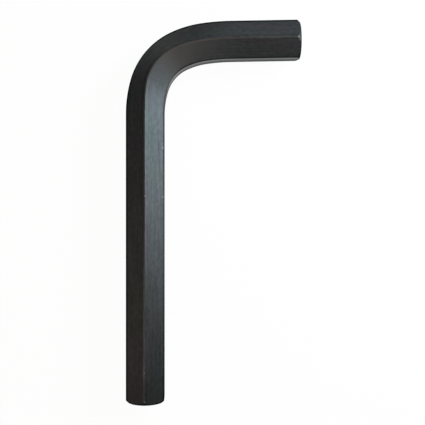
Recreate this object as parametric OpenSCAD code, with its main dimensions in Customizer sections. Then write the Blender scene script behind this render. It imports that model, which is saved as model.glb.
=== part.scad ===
// Hex key: one length of hexagonal steel bar, bent to an L, with a short cone turned on each tip.
//
// The key lies on its side. The long arm runs along Y with its tip towards -Y, and the short arm
// leaves the bend towards +X. Two opposite corners of the bar point straight up and down, so the
// key lies on a corner all the way round, and its inner and outer flats stand upright. The origin
// is on the surface that the key lies on, under the middle of its box.

/* [Bar] */
// Width across the flats, which is the size of the socket that the key fits
across_flats = 22; // [14:0.5:30]
// How much is rounded off each of the bar's six corners
corner_cut = 0.25; // [0.1:0.05:0.6]

/* [Arms] */
// Long arm, from its end face to the outer flat of the short arm where the bend ends
long_arm = 222; // [160:1:360]
// Short arm, from the middle of its end face to the outer flat of the long arm
short_arm = 101.4; // [90:0.1:160]

/* [Bend] */
// Angle that the bar is bent through in all, which leaves the arms a little short of square
bend_angle = 89; // [80:0.5:90]
// Angle of the first stage of the bend, which eases out of the long arm
lead_in_angle = 16.5; // [8:0.5:20]
// Radius of the inner flat in the first stage
lead_in_radius = 48.7; // [30:0.1:60]
// Radius of the inner flat in the second stage, the tightest, which turns what the others leave
middle_radius = 21.3; // [15:0.1:30]
// Angle of the third stage, which opens out towards the short arm
lead_out_angle = 16.3; // [8:0.1:20]
// Radius of the inner flat in the third stage
lead_out_radius = 42.1; // [30:0.1:60]
// Angle of the last stage, where the bar is nearly straight
run_out_angle = 7.4; // [2:0.1:10]
// Radius of the inner flat in the last stage
run_out_radius = 111; // [80:1:140]

/* [Tips] */
// How far the round face of each tip stays inside the flats
tip_inset = 0.4; // [0.1:0.05:2]
// Angle between the cone on each tip and the bar's axis
tip_angle = 45; // [30:1:60]

/* [Hidden] */

// Facets in a full turn, about the bar's axis and about the bend
round_fn = 96;
bend_fn = 240;

half_width = across_flats / 2;
sharp_corner = half_width / cos(30);
corner = sharp_corner - corner_cut;

// Radius of each tip's round face, and how far behind it the cone reaches a larger radius
tip_radius = half_width - tip_inset;
function cone_length(radius) = (radius - tip_radius) / tan(tip_angle);

// Each stage of the bend: its angle, and the radius of the bar's axis
middle_angle = bend_angle - lead_in_angle - lead_out_angle - run_out_angle;
stages = [
    [lead_in_angle, lead_in_radius + half_width],
    [middle_angle, middle_radius + half_width],
    [lead_out_angle, lead_out_radius + half_width],
    [run_out_angle, run_out_radius + half_width],
];

// The angle that the bar has turned through before a stage, and the direction outwards there
function turned(stage) = stage == 0 ? 0 : turned(stage - 1) + stages[stage - 1][0];
function outwards(stage) = [-cos(turned(stage)), sin(turned(stage))];

// Where the bar's axis enters a stage, and the centre that the stage turns about
function entry(stage) =
    stage == 0 ? [0, 0] : centre(stage - 1) + stages[stage - 1][1] * outwards(stage);
function centre(stage) = entry(stage) - stages[stage][1] * outwards(stage);

// The short arm sets out from the end of the bend
bend_end = entry(len(stages));
outward = outwards(len(stages));
ahead = [outward.y, -outward.x];
long_straight = long_arm - (bend_end + half_width * outward).y;
short_straight = (short_arm - half_width - bend_end.x) / ahead.x;

// The key's box, from the start of the bend
short_end = bend_end + short_straight * ahead;
box_left = -half_width;
box_right = (short_end - tip_radius * outward).x;
box_front = -long_straight;
box_back = (short_end - cone_length(half_width) * ahead + half_width * outward).y;

// The short arm is a hair slimmer than the bend and starts inside it, so they fuse at any angle
seam = 0.001;
lap = 0.01;
coarse_step = 0.01;

// The bar's section, with corners straight up and down
module section(inset = 0) {
    intersection() {
        polygon([
            for (angle = [30 : 60 : 330])
                (half_width - inset) / cos(30) * [cos(angle), sin(angle)]
        ]);
        circle(corner - inset, $fn = round_fn);
    }
}

// A straight arm along +Z, with the cone on its far end
module arm(length, inset = 0) {
    intersection() {
        linear_extrude(length) section(inset);
        rotate_extrude($fn = round_fn)
            polygon([
                [0, 0],
                [sharp_corner, 0],
                [sharp_corner, length - cone_length(sharp_corner)],
                [tip_radius, length],
                [0, length],
            ]);
    }
}

// Moves in a coarse step and a fine one, so that neighbours meet to the last digit
module place(point) {
    coarse = [for (step = point) round(step / coarse_step) * coarse_step];
    translate(coarse)
        translate(point - coarse)
            children();
}

module bend() {
    for (stage = [0 : len(stages) - 1])
        place(centre(stage))
            rotate_extrude(angle = stages[stage][0], start = 180 - turned(stage + 1), $fn = bend_fn)
                translate([stages[stage][1], 0])
                    section();
}

module hex_key() {
    color([0.13, 0.13, 0.14])
        translate([-(box_left + box_right) / 2, -(box_front + box_back) / 2, corner]) {
            rotate([90, 0, 0]) arm(long_straight);
            bend();
            place(bend_end)
                rotate([-90, 0, -bend_angle])
                    translate([0, 0, -lap])
                        arm(short_straight + lap, seam);
        }
}

hex_key();
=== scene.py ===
"""A hexagon key of blackened steel, lying on a white floor and seen from straight above.

The key is modelled much as it is made: the outline of the bar is bent in four stages and drawn
out to its two arms, and a cone is turned on each tip. All lengths are in metres, in the frame of
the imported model. The finish reads where each point sat on the bar before it was bent, so the
lines that the bar was drawn with follow the bend.
"""

import math

import bmesh
import bpy
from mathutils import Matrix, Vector


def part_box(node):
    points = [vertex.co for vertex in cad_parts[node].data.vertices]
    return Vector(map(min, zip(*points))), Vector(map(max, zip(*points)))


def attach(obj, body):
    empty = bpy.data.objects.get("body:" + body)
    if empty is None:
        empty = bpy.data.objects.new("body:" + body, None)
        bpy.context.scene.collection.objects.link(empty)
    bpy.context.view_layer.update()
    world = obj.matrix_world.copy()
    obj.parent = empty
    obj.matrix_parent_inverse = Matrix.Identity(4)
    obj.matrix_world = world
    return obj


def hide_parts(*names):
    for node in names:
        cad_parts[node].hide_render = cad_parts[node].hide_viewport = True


# The bar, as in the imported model: its size, what is cut off its corners, and how far its flats,
# its sharp corners and its cut ones are from its axis
BAR_SIDES = 6
ACROSS_FLATS = 0.022
CORNER_CUT = 0.00025
HALF_WIDTH = ACROSS_FLATS / 2
SHARP_CORNER = HALF_WIDTH / math.cos(math.pi / BAR_SIDES)
CORNER = SHARP_CORNER - CORNER_CUT

# The stages of the bend: angle in degrees, and radius of the bar's axis
STAGES = (
    (16.5, 0.0487 + HALF_WIDTH),
    (48.8, 0.0213 + HALF_WIDTH),
    (16.3, 0.0421 + HALF_WIDTH),
    (7.4, 0.1110 + HALF_WIDTH),
)
BEND_ANGLE = math.radians(sum(angle for angle, radius in STAGES))

# The tips: how far the round face stays inside the flats, and the cone's angle with the axis
TIP_INSET = 0.0004
TIP_ANGLE = math.radians(45)
TIP_RADIUS = HALF_WIDTH - TIP_INSET

# How finely the bar is divided, round its section and along it
CUTS_IN_A_FLAT = 10
RING_SPACING = 0.0014
DEGREES_A_RING = 1.5

# What is rounded off beside the corners and off the turned edges, and in how many steps
CORNER_SOFTNESS = 0.00012
CORNER_STEPS = 3
TIP_SOFTNESS = 0.00015
TIP_STEPS = 2

# What is turned off each end, and the blank that a tip is cut to: its sides, the length of its
# cone and the room that it leaves the rest of the key
TURNED_OFF = 0.002
TURNED_SIDES = 192
TURNED_CONE = 0.004
TURNED_ROOM = 0.3

# How sharp a fold is to be a turned edge, and the sharpest fold that is shaded smooth
TURNED_FOLD = math.radians(25)
SMOOTH_FOLD = math.radians(28)

# How close points are that are merged, and how far those of an open end may be off its plane
MERGED = 0.0000001
END_PLANE = RING_SPACING / 100

# How far the corners that face up and down drift outwards in the bend, where along the bar the
# drift rises and falls, and how high on the bar it starts
RIDGE_DRIFT = 0.00185
DRIFT_RISES = (0.002, 0.025)
DRIFT_FALLS = (0.027, 0.062)
DRIFT_STARTS = 0.0061

# The photograph's camera: its frame and focal length in pixels, the width of its sensor in
# millimetres, where it stood, and the point at the height of the bar's axis that is in the middle
# of the frame, which was cropped off centre
FRAME_PIXELS = 425
FOCAL_PIXELS = 759.4
SENSOR = 36
CAMERA_ABOVE_AXIS = 0.4462
CAMERA_X = -0.00793
CAMERA_Y = 0.01073
MIDDLE_X = -0.00044
MIDDLE_Y = -0.00069

# The colours of the finish, among them a paler tone that paints reflection in the bend and a dark
# oxide that paints shade, and the tints of what it mirrors at a low angle. From here on, places on
# the key are on the straight bar: outwards and upwards from its axis, and along it from the start
# of the bend, with the long arm below 0. A pair is where a change begins and where it ends.
OXIDE_GREEN = (0.0515, 0.0595, 0.0585, 1)
OXIDE_PURPLE = (0.058, 0.0565, 0.0625, 1)
# Painted reflection: the paler tone that stands in for light reflected inside the bend
PAINTED_BEND_SHEEN = (0.11, 0.112, 0.115, 1)
WORN_STEEL = (0.16, 0.155, 0.15, 1)
# Painted shade: a dark oxide that stands in for darker reflections on lands, ridges, rims, the
# inner flat, the long arm's end and the cones
PAINTED_SHADE_OXIDE = (0.015, 0.015, 0.015, 1)
EDGE_TINT = (0.5, 0.5, 0.5, 1)
# The tint of the painted shade's oxide at low angles
SHADE_EDGE_TINT = (0.1, 0.1, 0.1, 1)

# The noises: the size of their lumps across the bar and along it, detail, roughness and shift
BAND_NOISE = (0.0035, 0.05, 2, 0.5, 0)
STREAK_NOISE = (0.0009, 0.03, 3, 0.6, 11)
MOTTLE_NOISE = (0.0018, 0.0026, 3, 0.6, 5)
SHEEN_NOISE = (0.006, 0.012, 3, 0.5, 0)
WEAR_NOISE = (0.0015, 0.012, 3, 0.6, 0)
LINE_NOISE = (0.00035, 0.04, 3, 0.6, 0)
GRAIN_NOISE = (0.00025, 0.0006, 2, 0.6, 7)
CLOUD_NOISE = (0.008, 0.02, 3, 0.5, 3)

# The middle of a noise or a ramp, where it leaves a value as it is
HALFWAY = 0.5

# The oxide's tone: the part of a noise that turns one band to the other, and how far the streaks
# and the mottle vary the tone
BAND_EDGE = (0.35, 0.65)
STREAKS = 0.8
MOTTLE = 0.8

# The painted reflection on the inside of the bend, a paler tone that stands in for light reflected
# there: where along the bar it rises and falls, where it ends outwards, how strong it is, and how
# its clouds weaken it
SHEEN_RISES = (0.017, 0.037)
SHEEN_FALLS = (0.037, 0.09)
SHEEN_ENDS = (-0.0005, 0.001)
SHEEN_STRENGTH = 0.85
SHEEN_CLOUDS = (0.1, 0.6)
SHEEN_CLOUDINESS = 0.4

# The rubbed corners low on the long arm: how far from the axis, where along the bar they rise
# and fall, the part of a noise that makes them streaky, and their strength
WEAR_WIDTH = (0.0121, 0.01245)
WEAR_RISES = (-0.156, -0.148)
WEAR_FALLS = (-0.142, -0.12)
WEAR_STREAKS = (0.35, 0.6)
WEAR_STRENGTH = 0.3

# The chips in the corners: place and radius, the share of the radius that is bare all over, and
# how bare it is
CHIPS = (
    ((-0.0006, 0.0122, -0.0479), 0.0005),
    ((-0.0106, 0.0063, -0.0201), 0.001),
    ((-0.0106, 0.0063, -0.0485), 0.0009),
    ((-0.0002, 0.0124, -0.1455), 0.0004),
    ((-0.0003, 0.0124, -0.149), 0.0006),
    ((-0.0003, 0.0124, -0.1657), 0.0007),
    ((-0.0002, 0.0121, 0.1139), 0.0009),
)
CHIP_MIDDLE = 1 / 3
CHIP_STRENGTH = 0.8

# The painted highlight, a paler line beside the long arm's ridge: where outwards it rises and
# falls, where along the bar it starts and ends, and how much paler it is
CREST_RISES = (-0.0018, -0.0009)
CREST_FALLS = (-0.0004, 0)
CREST_STARTS = (-0.12, -0.06)
CREST_ENDS = (0, 0.03)
CREST_HIGHLIGHT_STRENGTH = 0.22

# The inner flat: where it ends outwards, where along the bar it takes on the short arm's looks,
# its upper part there, how far painted reflection makes that paler and painted shade the rest
# darker, and how much more painted shade darkens its lower part
INNER_FLAT = (-HALF_WIDTH + 0.0001, -HALF_WIDTH + 0.0004)
SHORT_FLAT = (0, 0.03)
UPPER_PART = (-0.003, 0.004)
UPPER_LIGHT_AND_SHADE = 0.5
LOWER_PART_SHADE = 0.5

# The darker tone on the outside of the bend: where along the bar it rises and falls, where it
# begins outwards, and how much darker it is
OUTER_BEND_RISES = (0.005, 0.02)
OUTER_BEND_FALLS = (0.02, 0.042)
OUTER_BEND_SIDE = (0, 0.001)
OUTER_BEND_DARKER = 0.2

# The lands, which are the narrow faces on the bar's corners: how far from the axis they are, how
# far outwards or inwards those of the sides are, how much painted shade darkens these, and where
# along the bar and by how much those of the inner side take less of it
LAND = (0.01238, 0.01244)
SIDE = (0.004, 0.006)
LAND_SIDE_SHADE = 0.85
INNER_SIDE_ENDS = (-0.005, 0.005)
INNER_SIDE_SHADE_FADES = (-0.14, -0.06)
INNER_SIDE_SHADE_RETURNS = (0.022, 0.045)
INNER_SIDE_LESS_SHADE = 0.8

# The ridges, which are the lands that face up and down: darkened with painted shade from the long
# arm through the bend, and again at the end of the long arm
RIDGE_SHADE_RISES = (-0.12, -0.05)
RIDGE_SHADE_FALLS = (0.008, 0.085)
RIDGE_SHADE = 0.6
LOW_RIDGE_ENDS = (-0.158, -0.15)
LOW_RIDGE_SHADE = 0.35

# Other parts darkened with painted shade: the rims of the outer side, how far from the axis and
# outwards; the inner flat low on the long arm; the end of the long arm, by the distance from its
# tip; and the cones, by how far inside a cone's radius, but not from the ridge outwards on the
# short arm
RIM = (0.01195, 0.0123)
RIM_STARTS = (0.005, 0.006)
LOW_FLAT_ENDS = (-0.17, -0.05)
LONG_TIP = (0.003, 0.02)
LONG_TIP_SHADE = 0.15
CONE = (-0.0003, -0.0001)
CONE_SHADE = 0.85
SHORT_ARM = (0, 0.01)
CONE_SPARED = (-0.0024, -0.0018)

# Roughness of the satin oxide and of the dark oxide that paints shade, and what the inner flat of
# each arm, the clouds and the lines add to the first
ROUGHNESS = 0.4
SHADE_ROUGHNESS = 0.5
LONG_FLAT_FEEL = 0.12
SHORT_FLAT_FEEL = -0.2
CLOUD_FEEL = 0.12
LINE_FEEL = 0.06

# The depth of the lines, and the grain's share of it
LINE_DEPTH = 0.000006
GRAIN_SHARE = 0.5

# The studio: a floor of white paper that is shown mostly as pure white, and a dim room, which
# begins where the white sweep behind the floor fades
WHITE = (1, 1, 1, 1)
PAPER = (0.9, 0.9, 0.9, 1)
FLOOR_SHOWN = 0.96
FLOOR_SIZE = 40
ROOM_LIGHT = 0.005
ROOM_COLOUR = (1, 0.9, 0.8, 1)
SWEEP_FADE = (0.1, 0.3)

# What the lamps face: the right side of the long arm, the arm itself, the bend, the key's middle
# and a place in front of the bend
LONG_ARM_SIDE = (-0.03, 0.055, 0.012)
LONG_ARM = (-0.04, 0, 0.012)
BEND = (0, 0.08, 0.012)
MIDDLE = (0, 0, 0.012)
FRONT_OF_BEND = (-0.01, 0.05, 0.012)

# The lamps: name, place, what it faces, size, power and colour
SOFTBOXES = (
    ("right_softbox", (0.205, 0.055, 0.098), LONG_ARM_SIDE, 0.18, 0.247, (0.67, 0.95, 1)),
    ("right_high_softbox", (0.403, 0.055, 0.262), LONG_ARM_SIDE, 0.3, 0.602, (1, 0.93, 0.95)),
    ("far_right_softbox", (0.345, 0.272, 0.262), LONG_ARM_SIDE, 0.18, 1.743, (0.72, 0.96, 1)),
    ("top_softbox", (0, 0, 0.812), MIDDLE, 1.2, 4.562, (1, 0.85, 0.74)),
    ("back_softbox", (0.11, 0.705, 0.308), BEND, 0.3, 0.356, (0.86, 0.96, 1)),
    ("back_left_softbox", (-0.317, 0.629, 0.308), BEND, 0.3, 0.217, (1, 0.95, 0.84)),
    ("left_softbox", (-0.551, -0.186, 0.266), LONG_ARM, 0.4, 0.168, (1, 0.7, 0.53)),
    ("front_softbox", (-0.01, -0.47, 0.312), FRONT_OF_BEND, 0.3, 0.17, (0.92, 0.94, 1)),
)


class Socket:
    """A value in a node tree, which takes part in sums as a number does."""

    def __init__(self, nodes, output):
        self.nodes = nodes
        self.output = output

    def __add__(self, other):
        return self.nodes.math("ADD", self, other)

    __radd__ = __add__

    def __sub__(self, other):
        return self.nodes.math("SUBTRACT", self, other)

    def __rsub__(self, other):
        return self.nodes.math("SUBTRACT", other, self)

    def __mul__(self, other):
        return self.nodes.math("MULTIPLY", self, other)

    __rmul__ = __mul__


class Nodes:
    """The node tree of a finish or of the studio's light."""

    def __init__(self, owner):
        owner.use_nodes = True
        self.tree = owner.node_tree
        self.tree.nodes.clear()

    def add(self, kind, settings=None, inputs=None, output=0):
        """Adds a node: its settings first, then the numbers or links of its inputs."""
        node = self.tree.nodes.new(kind)
        for name, value in (settings or {}).items():
            setattr(node, name, value)
        for name, value in (inputs or {}).items():
            if isinstance(value, Socket):
                self.tree.links.new(value.output, node.inputs[name])
            else:
                node.inputs[name].default_value = value
        return Socket(self, node.outputs[output] if node.outputs else None)

    def math(self, operation, *values):
        return self.add("ShaderNodeMath", {"operation": operation}, dict(enumerate(values)))

    def ramp(self, value, low, high):
        """0 below low, 1 above high and a smooth rise between them."""
        return self.add(
            "ShaderNodeMapRange",
            {"interpolation_type": "SMOOTHSTEP"},
            {"Value": value, "From Min": low, "From Max": high},
        )

    def largest(self, values):
        """The largest of some values, and at least 0."""
        most = 0
        for value in values:
            most = self.math("MAXIMUM", most, value)
        return most

    def blend(self, amount, first, second):
        """A colour between two, nearer the second by an amount from 0 to 1."""
        return self.add(
            "ShaderNodeMix",
            {"data_type": "RGBA"},
            {"Factor": amount, "A": first, "B": second},
            output="Result",
        )

    def scale(self, colour, factor):
        """A colour made paler or darker by a factor."""
        return self.add(
            "ShaderNodeVectorMath", {"operation": "SCALE"}, {0: colour, "Scale": factor}
        )


class BarNodes(Nodes):
    """The node tree of the bar's finish, which knows each point's place on the straight bar."""

    def __init__(self, owner):
        super().__init__(owner)
        self.straight = self.add(
            "ShaderNodeAttribute", {"attribute_name": "straight_bar"}, output="Vector"
        )
        self.outward, self.upward, self.along = (
            self.add("ShaderNodeSeparateXYZ", inputs={0: self.straight}, output=axis)
            for axis in "XYZ"
        )
        section = self.add("ShaderNodeCombineXYZ", inputs={0: self.outward, 1: self.upward})
        self.from_axis = self.add(
            "ShaderNodeVectorMath", {"operation": "LENGTH"}, {0: section}, output="Value"
        )
        self.inner_flat = 1 - self.ramp(self.outward, *INNER_FLAT)

    def noise(self, across, lengthwise, detail, roughness, shift):
        """Noise with lumps of one size across the bar and another along it."""
        scaled = self.add(
            "ShaderNodeVectorMath",
            {"operation": "MULTIPLY_ADD"},
            {
                0: self.straight,
                1: (1 / across, 1 / across, 1 / lengthwise),
                2: (shift, shift, shift),
            },
        )
        return self.add(
            "ShaderNodeTexNoise",
            inputs={"Vector": scaled, "Scale": 1, "Detail": detail, "Roughness": roughness},
        )


def turned_before(stage):
    """The angle, in radians, that the bar has turned through before a stage."""
    return math.radians(sum(angle for angle, radius in STAGES[:stage]))


def bent_length(stage):
    """The length of the bar's axis in the bend before a stage."""
    return sum(math.radians(angle) * radius for angle, radius in STAGES[:stage])


def outwards(angle):
    """The direction out of the bend where the bar has turned through an angle."""
    return Vector((-math.cos(angle), math.sin(angle), 0))


def ahead(angle):
    """The direction along the bar where it has turned through an angle."""
    return Vector((math.sin(angle), math.cos(angle), 0))


def cone_length(radius):
    """How far from the end face the cone of a tip reaches a radius."""
    return (radius - TIP_RADIUS) / math.tan(TIP_ANGLE)


class Route:
    """Where the bar's axis runs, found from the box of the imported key."""

    def __init__(self, low, high):
        self.centres = []
        offset = Vector((0, 0, 0))
        for stage, (angle, radius) in enumerate(STAGES):
            centre = offset - radius * outwards(turned_before(stage))
            self.centres.append(centre)
            offset = centre + radius * outwards(turned_before(stage + 1))
        side = outwards(BEND_ANGLE)
        onward = ahead(BEND_ANGLE)
        reach = high.x - low.x - HALF_WIDTH
        self.short = (reach - offset.x + TIP_RADIUS * side.x) / onward.x
        back = (offset + (self.short - cone_length(HALF_WIDTH)) * onward + HALF_WIDTH * side).y
        self.long = high.y - low.y - back
        self.start = Vector((low.x + HALF_WIDTH, low.y + self.long, (low.z + high.z) / 2))
        self.centres = [self.start + centre for centre in self.centres]
        self.end = self.start + offset
        self.bend = bent_length(len(STAGES))

    def turned(self, point):
        """The angle that the bar has turned through at a point, and its stage if it has one."""
        if point.y <= self.start.y:
            return 0, None
        for stage, centre in enumerate(self.centres):
            spoke = point - centre
            angle = math.atan2(spoke.y, -spoke.x)
            if angle <= turned_before(stage + 1):
                return angle, stage
        return BEND_ANGLE, None

    def straightened(self, point):
        """Where a point sat on the straight bar: outwards, upwards and along it."""
        turned, stage = self.turned(point)
        if stage is None:
            root, along = (self.end, self.bend) if turned else (self.start, 0)
            outward = (point - root).dot(outwards(turned))
            along += (point - root).dot(ahead(turned))
        else:
            radius = STAGES[stage][1]
            spoke = point - self.centres[stage]
            outward = math.hypot(spoke.x, spoke.y) - radius
            along = bent_length(stage) + radius * (turned - turned_before(stage))
        return Vector((outward, point.z - self.start.z, along))


def select_points(mesh, wanted):
    """Selects, in edit mode, the points that a test picks, with the edges between them."""
    shape = bmesh.from_edit_mesh(mesh)
    for point in shape.verts:
        point.select = wanted(point.co)
    shape.select_flush(True)
    shape.select_flush(False)
    bmesh.update_edit_mesh(mesh)


def select_edges(mesh, wanted):
    """Selects, in edit mode, the edges that a test picks."""
    shape = bmesh.from_edit_mesh(mesh)
    for edge in shape.edges:
        edge.select_set(False)
    for edge in shape.edges:
        if wanted(edge):
            edge.select_set(True)
    bmesh.update_edit_mesh(mesh)


def weld_and_leave():
    """Merges the points that are in one place, turns all faces outwards and leaves edit mode."""
    bpy.ops.mesh.select_all(action="SELECT")
    bpy.ops.mesh.remove_doubles(threshold=MERGED)
    bpy.ops.mesh.normals_make_consistent(inside=False)
    bpy.ops.object.mode_set(mode="OBJECT")


def draw_section(route):
    """The bar's outline where the bend starts: a hexagon with a narrow land on each corner."""
    bpy.ops.object.select_all(action="DESELECT")
    bpy.ops.mesh.primitive_circle_add(
        vertices=BAR_SIDES,
        radius=SHARP_CORNER,
        fill_type="NGON",
        location=route.start,
        rotation=(math.radians(90), 0, 0),
    )
    bar = bpy.context.object
    bar.name = "key_bar"
    bpy.ops.object.transform_apply(location=True, rotation=True, scale=True)
    bpy.ops.object.mode_set(mode="EDIT")
    bpy.ops.mesh.select_all(action="SELECT")
    setback = CORNER_CUT / math.sin(math.pi / BAR_SIDES)
    bpy.ops.mesh.bevel(offset=setback, offset_type="OFFSET", segments=1, affect="VERTICES")
    bpy.ops.mesh.select_all(action="SELECT")
    bpy.ops.mesh.bevel(offset=CORNER_SOFTNESS, segments=CORNER_STEPS, affect="VERTICES")
    bpy.ops.mesh.select_all(action="SELECT")
    bpy.ops.mesh.delete(type="ONLY_FACE")
    select_edges(bar.data, lambda edge: edge.calc_length() > HALF_WIDTH / 2)
    bpy.ops.mesh.subdivide(number_cuts=CUTS_IN_A_FLAT)
    return bar


def bend_bar(route):
    """Spins the outline through the stages of the bend."""
    bpy.ops.mesh.select_all(action="SELECT")
    for (angle, radius), centre in zip(STAGES, route.centres):
        bpy.ops.mesh.spin(
            steps=round(angle / DEGREES_A_RING),
            angle=math.radians(angle),
            center=centre,
            axis=(0, 0, 1),
        )


def draw_arm(bar, root, direction, length):
    """Draws the open end at root out to an arm, closes it, and divides it into rings."""

    def at_root(point):
        across = point - root
        return across.length < ACROSS_FLATS and abs(across.dot(direction)) < END_PLANE

    select_points(bar.data, at_root)
    bpy.ops.mesh.extrude_region_move(TRANSFORM_OT_translate={"value": direction * length})
    bpy.ops.mesh.edge_face_add()
    select_edges(bar.data, lambda edge: edge.calc_length() > length / 2)
    bpy.ops.mesh.subdivide(number_cuts=round(length / RING_SPACING) - 1)


def turned_blank(tip, direction):
    """A blank with the shape of a turned tip, a cone behind its end face, and room behind that."""
    bpy.ops.object.select_all(action="DESELECT")
    bpy.ops.mesh.primitive_circle_add(
        vertices=TURNED_SIDES,
        radius=TIP_RADIUS,
        fill_type="NGON",
        location=tip,
        rotation=direction.to_track_quat("Z", "Y").to_euler(),
    )
    blank = bpy.context.object
    bpy.ops.object.transform_apply(location=True, rotation=True, scale=True)
    bpy.ops.object.mode_set(mode="EDIT")
    bpy.ops.mesh.select_all(action="SELECT")
    bpy.ops.mesh.extrude_region_move(TRANSFORM_OT_translate={"value": -direction * TURNED_CONE})
    wider = 1 + TURNED_CONE * math.tan(TIP_ANGLE) / TIP_RADIUS
    cone_end = tip - direction * TURNED_CONE
    bpy.ops.transform.resize(value=(wider, wider, wider), center_override=cone_end)
    bpy.ops.mesh.extrude_region_move()
    widest = TURNED_ROOM / (TIP_RADIUS * wider)
    bpy.ops.transform.resize(value=(widest, widest, widest), center_override=cone_end)
    bpy.ops.mesh.extrude_region_move(TRANSFORM_OT_translate={"value": -direction * TURNED_ROOM})
    bpy.ops.mesh.select_all(action="SELECT")
    bpy.ops.mesh.normals_make_consistent(inside=False)
    bpy.ops.object.mode_set(mode="OBJECT")
    return blank


def turn_tip(bar, tip, direction):
    """Cuts a tip to its cone, by keeping what the bar shares with a turned blank."""
    blank = turned_blank(tip, direction)
    bpy.ops.object.select_all(action="DESELECT")
    bpy.context.view_layer.objects.active = bar
    bar.select_set(True)
    cut = bar.modifiers.new("turned tip", "BOOLEAN")
    cut.operation = "INTERSECT"
    cut.solver = "EXACT"
    cut.object = blank
    bpy.ops.object.modifier_apply(modifier=cut.name)
    bpy.data.objects.remove(blank)


def soften_tips(bar, tips):
    """Rounds the edges of the cones and the end faces a little."""

    def turned_edge(edge):
        middle = (edge.verts[0].co + edge.verts[1].co) / 2
        folded = len(edge.link_faces) == 2 and edge.calc_face_angle() > TURNED_FOLD
        return folded and any((middle - tip).length < ACROSS_FLATS for tip in tips)

    bpy.ops.object.mode_set(mode="EDIT")
    select_edges(bar.data, turned_edge)
    bpy.ops.mesh.bevel(offset=TIP_SOFTNESS, segments=TIP_STEPS, affect="EDGES")
    weld_and_leave()


def make_key(route):
    """The whole key: the bar's outline, bent, drawn out to both arms and turned at the tips."""
    bar = draw_section(route)
    bend_bar(route)
    short_way = ahead(BEND_ANGLE)
    long_way = Vector((0, -1, 0))
    draw_arm(bar, route.end, short_way, route.short + TURNED_OFF)
    draw_arm(bar, route.start, long_way, route.long + TURNED_OFF)
    weld_and_leave()
    tips = [route.end + short_way * route.short, route.start + long_way * route.long]
    turn_tip(bar, tips[0], short_way)
    turn_tip(bar, tips[1], long_way)
    soften_tips(bar, tips)
    bpy.ops.object.shade_smooth_by_angle(angle=SMOOTH_FOLD)
    return bar


def keep_straight_places(bar, route):
    """Keeps, at each point of the mesh, where it sat on the straight bar."""
    straight = bar.data.attributes.new("straight_bar", "FLOAT_VECTOR", "POINT")
    for point, kept in zip(bar.data.vertices, straight.data):
        kept.vector = route.straightened(point.co)


def smooth_rise(value, low, high):
    """0 below low, 1 above high and a smooth rise between them."""
    share = min(max((value - low) / (high - low), 0), 1)
    return share * share * (3 - 2 * share)


def drift_ridges(bar, route):
    """Lets the corners that face up and down drift outwards in the bend, as the photo shows."""
    shares = []
    for straight in bar.data.attributes["straight_bar"].data:
        upward, along = straight.vector.yz
        high_up = (abs(upward) - DRIFT_STARTS) / (CORNER - DRIFT_STARTS)
        bent = smooth_rise(along, *DRIFT_RISES) - smooth_rise(along, *DRIFT_FALLS)
        shares.append(min(max(high_up, 0), 1) * bent)
    for index, axis, sign in ((0, "X", -1), (1, "Y", 1)):
        name = "drift along " + axis
        group = bar.vertex_groups.new(name=name)
        for point, share in zip(bar.data.vertices, shares):
            if share > 0:
                way = outwards(route.turned(point.co)[0])
                group.add([point.index], share * abs(way[index]), "REPLACE")
        drift = bar.modifiers.new(name, "DISPLACE")
        drift.direction = axis
        drift.vertex_group = name
        drift.mid_level = 0
        drift.strength = sign * RIDGE_DRIFT
        bpy.ops.object.modifier_apply(modifier=name)
    bar.vertex_groups.clear()


def oxide_tone(bar):
    """Greenish and purplish bands with streaks along the bar, with painted reflection in the bend.
    """
    bands = bar.ramp(bar.noise(*BAND_NOISE), *BAND_EDGE)
    streaks = (bar.noise(*STREAK_NOISE) - HALFWAY) * STREAKS
    mottle = (bar.noise(*MOTTLE_NOISE) - HALFWAY) * MOTTLE
    tone = bar.scale(bar.blend(bands, OXIDE_GREEN, OXIDE_PURPLE), 1 + streaks + mottle)
    # Painted reflection: a paler, cloudy tone on the inside of the bend stands in for light
    # reflected there
    bent = bar.ramp(bar.along, *SHEEN_RISES) - bar.ramp(bar.along, *SHEEN_FALLS)
    inner = 1 - bar.ramp(bar.outward, *SHEEN_ENDS)
    clouds = bar.ramp(bar.noise(*SHEEN_NOISE), *SHEEN_CLOUDS) * SHEEN_CLOUDINESS
    painted_sheen = bent * inner * (clouds + (1 - SHEEN_CLOUDINESS)) * SHEEN_STRENGTH
    return bar.blend(painted_sheen, tone, PAINTED_BEND_SHEEN)


def chips(bar):
    """How bare the small chips in the corners are, from 0 to 1."""
    bare = []
    for place, radius in CHIPS:
        away = bar.add(
            "ShaderNodeVectorMath",
            {"operation": "DISTANCE"},
            {0: bar.straight, 1: place},
            output="Value",
        )
        bare.append(1 - bar.ramp(away, radius * CHIP_MIDDLE, radius))
    return bar.largest(bare)


def worn_tone(bar, tone, chipped):
    """The tone, rubbed paler in streaks on the corners low on the long arm, and where chipped."""
    corner = bar.ramp(bar.from_axis, *WEAR_WIDTH)
    low_down = bar.ramp(bar.along, *WEAR_RISES) - bar.ramp(bar.along, *WEAR_FALLS)
    rubbed = corner * low_down * bar.ramp(bar.noise(*WEAR_NOISE), *WEAR_STREAKS)
    tone = bar.blend(rubbed * WEAR_STRENGTH, tone, WORN_STEEL)
    return bar.blend(chipped * CHIP_STRENGTH, tone, WORN_STEEL)


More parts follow.
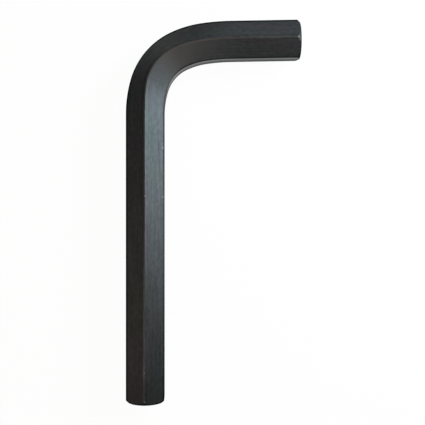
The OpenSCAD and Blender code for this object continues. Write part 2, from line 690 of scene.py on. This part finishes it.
def shaded_tone(bar, tone):
    """The tone, with a painted highlight by the crest and painted light and shade on the inner
    flat, and darker on the outside of the bend.
    """
    # Painted highlight: a paler line beside the long arm's ridge
    crest_highlight = bar.ramp(bar.outward, *CREST_RISES) - bar.ramp(bar.outward, *CREST_FALLS)
    crest_highlight = crest_highlight * (1 - bar.ramp(bar.along, *CREST_ENDS)) * bar.ramp(bar.along, *CREST_STARTS)
    # Painted reflection on the upper part of the short arm's inner flat, and painted shade on its
    # lower part
    upper = (bar.ramp(bar.upward, *UPPER_PART) - HALFWAY) * bar.inner_flat
    upper = upper * bar.ramp(bar.along, *SHORT_FLAT)
    # Darker on the outside of the bend
    outer_bend = bar.ramp(bar.along, *OUTER_BEND_RISES) - bar.ramp(bar.along, *OUTER_BEND_FALLS)
    outer_bend = outer_bend * bar.ramp(bar.outward, *OUTER_BEND_SIDE)
    paler = crest_highlight * CREST_HIGHLIGHT_STRENGTH + upper * UPPER_LIGHT_AND_SHADE
    return bar.scale(tone, 1 + paler - outer_bend * OUTER_BEND_DARKER)


def painted_shade_share(bar, route):
    """How much painted shade darkens the oxide, from 0 to 1."""
    land = bar.ramp(bar.from_axis, *LAND)
    side = bar.ramp(bar.math("ABSOLUTE", bar.outward), *SIDE)
    # Where the inner side's lands take less painted shade
    clear = bar.ramp(bar.along, *INNER_SIDE_SHADE_FADES) - bar.ramp(bar.along, *INNER_SIDE_SHADE_RETURNS)
    clear = clear * (1 - bar.ramp(bar.outward, *INNER_SIDE_ENDS))
    ridge = bar.ramp(bar.along, *RIDGE_SHADE_RISES) - bar.ramp(bar.along, *RIDGE_SHADE_FALLS)
    low_ridge = 1 - bar.ramp(bar.along, *LOW_RIDGE_ENDS)
    rim = bar.ramp(bar.from_axis, *RIM) * bar.ramp(bar.outward, *RIM_STARTS)
    low_flat = 1 - bar.ramp(bar.along, *LOW_FLAT_ENDS)
    # Painted shade on the lower part of the short arm's inner flat
    lower_part = bar.ramp(bar.along, *SHORT_FLAT) * (1 - bar.ramp(bar.upward, *UPPER_PART))
    from_long_tip = bar.along + route.long
    from_short_tip = route.bend + route.short - bar.along
    from_tip = bar.math("MINIMUM", from_long_tip, from_short_tip)
    cone_radius = TIP_RADIUS + from_tip * math.tan(TIP_ANGLE)
    cone = bar.ramp(bar.from_axis - cone_radius, *CONE)
    spared = bar.ramp(bar.along, *SHORT_ARM) * bar.ramp(bar.outward, *CONE_SPARED)
    # Painted shade on the side and ridge lands, rims, inner flat, the long arm's end and the cones
    return bar.largest((
        land * side * (LAND_SIDE_SHADE - clear * INNER_SIDE_LESS_SHADE),
        land * (1 - side) * (ridge * RIDGE_SHADE + low_ridge * LOW_RIDGE_SHADE),
        rim,
        bar.inner_flat * low_flat,
        bar.inner_flat * lower_part * LOWER_PART_SHADE,
        (1 - bar.ramp(from_long_tip, *LONG_TIP)) * LONG_TIP_SHADE,
        cone * (1 - spared) * CONE_SHADE,
    ))


def metal(nodes, tone, roughness, edge_tint, bump):
    """A metal's shader: its tone and roughness, and the tint of what it mirrors at low angles."""
    return nodes.add(
        "ShaderNodeBsdfPrincipled",
        inputs={
            "Base Color": tone,
            "Metallic": 1,
            "Roughness": roughness,
            "Specular Tint": edge_tint,
            "Normal": bump,
        },
    )


def blackened_steel(route):
    """Black oxide on drawn steel, with fine lines along the bar, wear, and painted light and
    shade.
    """
    material = bpy.data.materials.new("blackened_steel")
    bar = BarNodes(material)
    chipped = chips(bar)
    tone = shaded_tone(bar, worn_tone(bar, oxide_tone(bar), chipped))
    lines = bar.noise(*LINE_NOISE)
    grain = bar.noise(*GRAIN_NOISE)
    clouds = bar.noise(*CLOUD_NOISE)
    bump = bar.add(
        "ShaderNodeBump",
        inputs={"Strength": 1, "Distance": LINE_DEPTH, "Height": lines + grain * GRAIN_SHARE},
    )
    short_flat = bar.ramp(bar.along, *SHORT_FLAT)
    flat_feel = LONG_FLAT_FEEL + short_flat * (SHORT_FLAT_FEEL - LONG_FLAT_FEEL)
    feel = ROUGHNESS + bar.inner_flat * flat_feel
    feel = feel + (clouds - HALFWAY) * CLOUD_FEEL + (lines - HALFWAY) * LINE_FEEL
    satin = metal(bar, tone, feel, EDGE_TINT, bump)
    # Painted shade: a dark, rougher oxide that darkens the lands, ridges, rims, inner flat, the
    # long arm's end and the cones
    painted_shade = metal(bar, PAINTED_SHADE_OXIDE, SHADE_ROUGHNESS, SHADE_EDGE_TINT, bump)
    shade_share = painted_shade_share(bar, route) * (1 - chipped)
    mixed = bar.add("ShaderNodeMixShader", inputs={0: shade_share, 1: satin, 2: painted_shade})
    bar.add("ShaderNodeOutputMaterial", inputs={"Surface": mixed})
    return material


def white_paper():
    """The floor's finish, shown almost as pure white, with a trace of the key's shadow."""
    material = bpy.data.materials.new("white_paper")
    nodes = Nodes(material)
    camera, glossy, through = (
        nodes.add("ShaderNodeLightPath", output=rays)
        for rays in ("Is Camera Ray", "Is Glossy Ray", "Is Transmission Ray")
    )
    seen = (camera + glossy + through) * FLOOR_SHOWN
    paper = nodes.add("ShaderNodeBsdfDiffuse", inputs={"Color": PAPER})
    shown = nodes.add("ShaderNodeEmission", inputs={"Color": WHITE, "Strength": 1})
    mix = nodes.add("ShaderNodeMixShader", inputs={0: seen, 1: paper, 2: shown})
    nodes.add("ShaderNodeOutputMaterial", inputs={"Surface": mix})
    return material


def studio_world():
    """A dim, slightly warm room above a white sweep that rises all round behind the floor."""
    world = bpy.data.worlds.new("studio")
    bpy.context.scene.world = world
    nodes = Nodes(world)
    way = nodes.add("ShaderNodeTexCoord", output="Generated")
    height = nodes.add("ShaderNodeSeparateXYZ", inputs={0: way}, output="Z")
    sweep = 1 - nodes.ramp(height, *SWEEP_FADE)
    room, white = (
        nodes.add("ShaderNodeBackground", inputs={"Color": colour, "Strength": strength})
        for colour, strength in ((ROOM_COLOUR, ROOM_LIGHT), (WHITE, 1))
    )
    mix = nodes.add("ShaderNodeMixShader", inputs={0: sweep, 1: room, 2: white})
    nodes.add("ShaderNodeOutputWorld", inputs={"Surface": mix})


def lay_floor():
    bpy.ops.object.select_all(action="DESELECT")
    bpy.ops.mesh.primitive_plane_add(size=FLOOR_SIZE)
    floor = bpy.context.object
    floor.name = "floor"
    floor.data.materials.append(white_paper())


def softbox(name, place, aim, size, power, colour):
    """A square lamp that faces a place and isn't seen itself."""
    light = bpy.data.lights.new(name, "AREA")
    light.shape = "SQUARE"
    light.size = size
    light.energy = power
    light.color = colour
    lamp = bpy.data.objects.new(name, light)
    lamp.location = place
    lamp.visible_camera = False
    lamp.rotation_euler = (Vector(aim) - Vector(place)).to_track_quat("-Z", "Y").to_euler()
    bpy.context.scene.collection.objects.link(lamp)


def place_camera(route):
    """The photograph's camera, looking straight down, with the shift of its off-centre crop."""
    camera = bpy.data.cameras.new("camera")
    camera.sensor_width = SENSOR
    camera.lens = SENSOR * FOCAL_PIXELS / FRAME_PIXELS
    frames_a_metre = FOCAL_PIXELS / CAMERA_ABOVE_AXIS / FRAME_PIXELS
    camera.shift_x = (MIDDLE_X - CAMERA_X) * frames_a_metre
    camera.shift_y = (MIDDLE_Y - CAMERA_Y) * frames_a_metre
    holder = bpy.data.objects.new("camera", camera)
    holder.location = (CAMERA_X, CAMERA_Y, route.start.z + CAMERA_ABOVE_AXIS)
    bpy.context.scene.collection.objects.link(holder)
    bpy.context.scene.camera = holder


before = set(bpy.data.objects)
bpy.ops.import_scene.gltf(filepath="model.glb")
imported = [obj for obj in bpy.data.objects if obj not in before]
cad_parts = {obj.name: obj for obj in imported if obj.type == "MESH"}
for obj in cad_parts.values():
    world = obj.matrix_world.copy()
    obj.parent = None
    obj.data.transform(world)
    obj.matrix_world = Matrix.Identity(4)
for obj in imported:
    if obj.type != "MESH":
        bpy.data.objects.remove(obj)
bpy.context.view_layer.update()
low, high = (Vector(corner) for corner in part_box("hex_key"))
route = Route(low, high)

place_camera(route)
studio_world()
lay_floor()
for lamp in SOFTBOXES:
    softbox(*lamp)

key = make_key(route)
keep_straight_places(key, route)
drift_ridges(key, route)
key.data.materials.append(blackened_steel(route))
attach(key, "root")
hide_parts("hex_key")

bpy.context.scene.view_settings.view_transform = "Standard"
